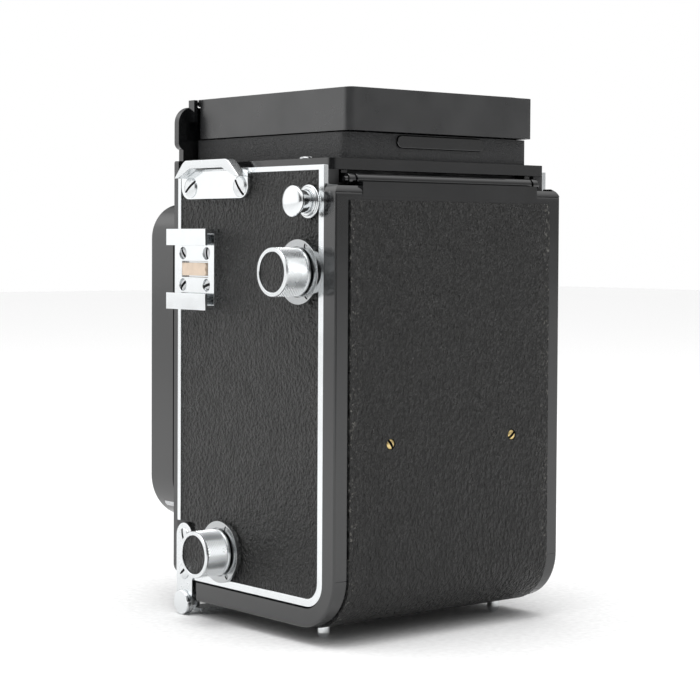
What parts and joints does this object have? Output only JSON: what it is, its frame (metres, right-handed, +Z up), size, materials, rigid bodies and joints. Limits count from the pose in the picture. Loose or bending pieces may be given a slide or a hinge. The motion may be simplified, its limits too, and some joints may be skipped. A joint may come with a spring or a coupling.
{
  "type": "twin lens reflex camera",
  "caption": "Twin lens reflex film camera with folding hood, hinged L-shaped back, focusing lens standard and knurled spool knobs.",
  "frame": {"origin": "centre of the tripod socket's mouth in the door's bottom", "axes": "+X to the viewer's left, -Y to the lens side, +Z up, out through the hood; the socket's axis is -Z"},
  "size_m": [0.094, 0.0988, 0.1386],
  "materials": {
    "black_enamel": "gloss",
    "crackle": "wrinkle",
    "black_metal": "matt",
    "leather": "grained",
    "brass": "satin",
    "glass": "polished",
    "mirror": "polished",
    "steel": "turned",
    "chrome": "satin"
  },
  "bodies": {
    "camera": {"body_casting": "black_metal", "front_plate": "black_enamel", "top_plate": "black_enamel", "side_trim_frames": "chrome", "side_leatherettes": "leather", "knob_flanges": "chrome", "flange_screws": "chrome", "button_flange": "chrome", "strap_lug_plates": "chrome", "strap_bails": "chrome", "strap_lug_screws": "chrome", "accessory_shoe": "chrome", "shoe_spring": "brass", "shoe_screws": "chrome", "latch_brackets": "chrome", "bracket_screws": "chrome", "latch_pins": "chrome", "door_hinge_pin": "black_enamel", "reflex_mirror": "mirror", "focusing_screen": "glass", "screen_frame": "black_metal", "hood_base": "crackle", "deck_screws": "chrome"},
    "back_door": {"back_cover": "black_enamel", "back_leatherette": "leather", "pressure_plate": "black_metal", "back_screws": "brass", "rear_feet": "chrome", "tripod_socket": "steel"},
    "door_latch": {"latch_bail": "chrome"},
    "upper_pin": {"upper_spool_pin": "steel"},
    "upper_spool_knob": {"upper_knob": "chrome", "upper_knob_inlay": "leather"},
    "lower_pin": {"lower_spool_pin": "steel"},
    "lower_spool_knob": {"lower_knob": "chrome", "lower_knob_inlay": "leather"},
    "film_release": {"mushroom_button": "chrome"},
    "take_up": {"take_up_spool": "black_metal"},
    "supply": {"supply_spool": "black_metal"},
    "upper_roller": {"upper_film_roller": "steel"},
    "lower_roller": {"lower_film_roller": "steel"},
    "winder": {"wind_knob": "chrome"},
    "focus": {"focus_knob": "chrome"},
    "standard": {"lens_standard": "black_enamel", "standard_rods": "steel", "lens_barrels": "black_metal", "lens_glasses": "glass", "shutter_housing": "black_metal", "bayonet_rings": "chrome"},
    "speed": {"speed_ring": "chrome"},
    "aperture": {"aperture_lever": "chrome"},
    "cocking": {"cocking_lever": "chrome"},
    "release": {"release_lever": "chrome"},
    "lid": {"hood_lid": "black_enamel"},
    "leaf_left": {"left_leaf": "black_metal"},
    "leaf_right": {"right_leaf": "black_metal"},
    "leaf_rear": {"rear_leaf": "black_metal"},
    "magnifier": {"magnifier_arm": "black_metal", "magnifier_glass": "glass"},
    "lid_latch": {"hood_latch": "crackle"}
  },
  "joints": [
    {"name": "door_hinge", "type": "hinge", "parent": "camera", "child": "back_door", "pos_m": [0, 0.031, 0.1122], "axis": [1, 0, 0], "range_deg": [0, 95]},
    {"name": "latch_swing", "type": "hinge", "parent": "camera", "child": "door_latch", "pos_m": [0, -0.0294, 0], "axis": [1, 0, 0], "range_deg": [-90, 0]},
    {"name": "upper_pin_pull", "type": "slide", "parent": "camera", "child": "upper_pin", "axis": [1, 0, 0], "range_m": [0, 0.006], "stiffness_N_per_m": 150, "springref_m": -0.004},
    {"name": "upper_knob_turn", "type": "hinge", "parent": "upper_pin", "child": "upper_spool_knob", "pos_m": [0.044, 0.0208, 0.0893], "axis": [1, 0, 0], "continuous": true},
    {"name": "lower_pin_pull", "type": "slide", "parent": "camera", "child": "lower_pin", "axis": [1, 0, 0], "range_m": [0, 0.006], "stiffness_N_per_m": 150, "springref_m": -0.004},
    {"name": "lower_knob_turn", "type": "hinge", "parent": "lower_pin", "child": "lower_spool_knob", "pos_m": [0.044, -0.0123, 0.0156], "axis": [1, 0, 0], "continuous": true},
    {"name": "film_release_press", "type": "slide", "parent": "camera", "child": "film_release", "axis": [-1, 0, 0], "range_m": [0, 0.0025], "stiffness_N_per_m": 300, "springref_m": -0.002},
    {"name": "wind_turn", "type": "hinge", "parent": "camera", "child": "winder", "pos_m": [-0.042, 0.0208, 0.0893], "axis": [1, 0, 0], "continuous": true},
    {"name": "take_up_turn", "type": "hinge", "parent": "camera", "child": "take_up", "pos_m": [0, 0.0208, 0.0893], "axis": [1, 0, 0], "continuous": true},
    {"name": "supply_turn", "type": "hinge", "parent": "camera", "child": "supply", "pos_m": [0, -0.0123, 0.0156], "axis": [1, 0, 0], "continuous": true},
    {"name": "upper_roller_turn", "type": "hinge", "parent": "camera", "child": "upper_roller", "pos_m": [0, 0.0284, 0.0764], "axis": [1, 0, 0], "continuous": true},
    {"name": "lower_roller_turn", "type": "hinge", "parent": "camera", "child": "lower_roller", "pos_m": [0, 0.0284, 0.0142], "axis": [1, 0, 0], "continuous": true},
    {"name": "focus_turn", "type": "hinge", "parent": "camera", "child": "focus", "pos_m": [-0.042, -0.008, 0.062], "axis": [1, 0, 0], "range_deg": [0, 270]},
    {"name": "standard_slide", "type": "slide", "parent": "camera", "child": "standard", "axis": [0, -1, 0], "range_m": [0, 0.009]},
    {"name": "speed_turn", "type": "hinge", "parent": "standard", "child": "speed", "pos_m": [0, -0.056, 0.0466], "axis": [0, 1, 0], "range_deg": [-60, 60]},
    {"name": "aperture_turn", "type": "hinge", "parent": "standard", "child": "aperture", "pos_m": [0, -0.0596, 0.0466], "axis": [0, 1, 0], "range_deg": [0, 50]},
    {"name": "cocking_press", "type": "hinge", "parent": "standard", "child": "cocking", "pos_m": [0.0286, -0.052, 0.0506], "axis": [0, 1, 0], "range_deg": [0, 20], "stiffness_Nm_per_rad": 0.02, "springref_deg": -11.46},
    {"name": "release_press", "type": "hinge", "parent": "standard", "child": "release", "pos_m": [-0.0286, -0.052, 0.0406], "axis": [0, 1, 0], "range_deg": [0, 15], "stiffness_Nm_per_rad": 0.02, "springref_deg": -11.46},
    {"name": "lid_hinge", "type": "hinge", "parent": "camera", "child": "lid", "pos_m": [0, -0.0339, 0.1339], "axis": [1, 0, 0], "range_deg": [0, 90]},
    {"name": "left_leaf_hinge", "type": "hinge", "parent": "camera", "child": "leaf_left", "pos_m": [0.0285, 0, 0.1252], "axis": [0, 1, 0], "range_deg": [0, 90]},
    {"name": "right_leaf_hinge", "type": "hinge", "parent": "camera", "child": "leaf_right", "pos_m": [-0.0285, 0, 0.1252], "axis": [0, 1, 0], "range_deg": [-90, 0]},
    {"name": "rear_leaf_hinge", "type": "hinge", "parent": "camera", "child": "leaf_rear", "pos_m": [0, 0.0264, 0.1252], "axis": [1, 0, 0], "range_deg": [-90, 0]},
    {"name": "magnifier_hinge", "type": "hinge", "parent": "lid", "child": "magnifier", "pos_m": [0, -0.0039, 0.1306], "axis": [1, 0, 0], "range_deg": [-90, 0]},
    {"name": "lid_latch_press", "type": "slide", "parent": "camera", "child": "lid_latch", "axis": [0, -1, 0], "range_m": [0, 0.0012], "stiffness_N_per_m": 400, "springref_m": -0.001}
  ],
  "couplings": [
    {"joint": "take_up_turn", "follows": "wind_turn", "ratio": 1},
    {"joint": "supply_turn", "follows": "wind_turn", "ratio": 1},
    {"joint": "upper_roller_turn", "follows": "wind_turn", "ratio": 2.6},
    {"joint": "lower_roller_turn", "follows": "wind_turn", "ratio": 2.6},
    {"joint": "focus_turn", "follows": "standard_slide", "rad_per_m": 523.59},
    {"joint": "left_leaf_hinge", "follows": "lid_hinge", "ratio": 1},
    {"joint": "right_leaf_hinge", "follows": "lid_hinge", "ratio": -1},
    {"joint": "rear_leaf_hinge", "follows": "lid_hinge", "ratio": -1},
    {"joint": "magnifier_hinge", "follows": "lid_hinge", "ratio": -1}
  ]
}
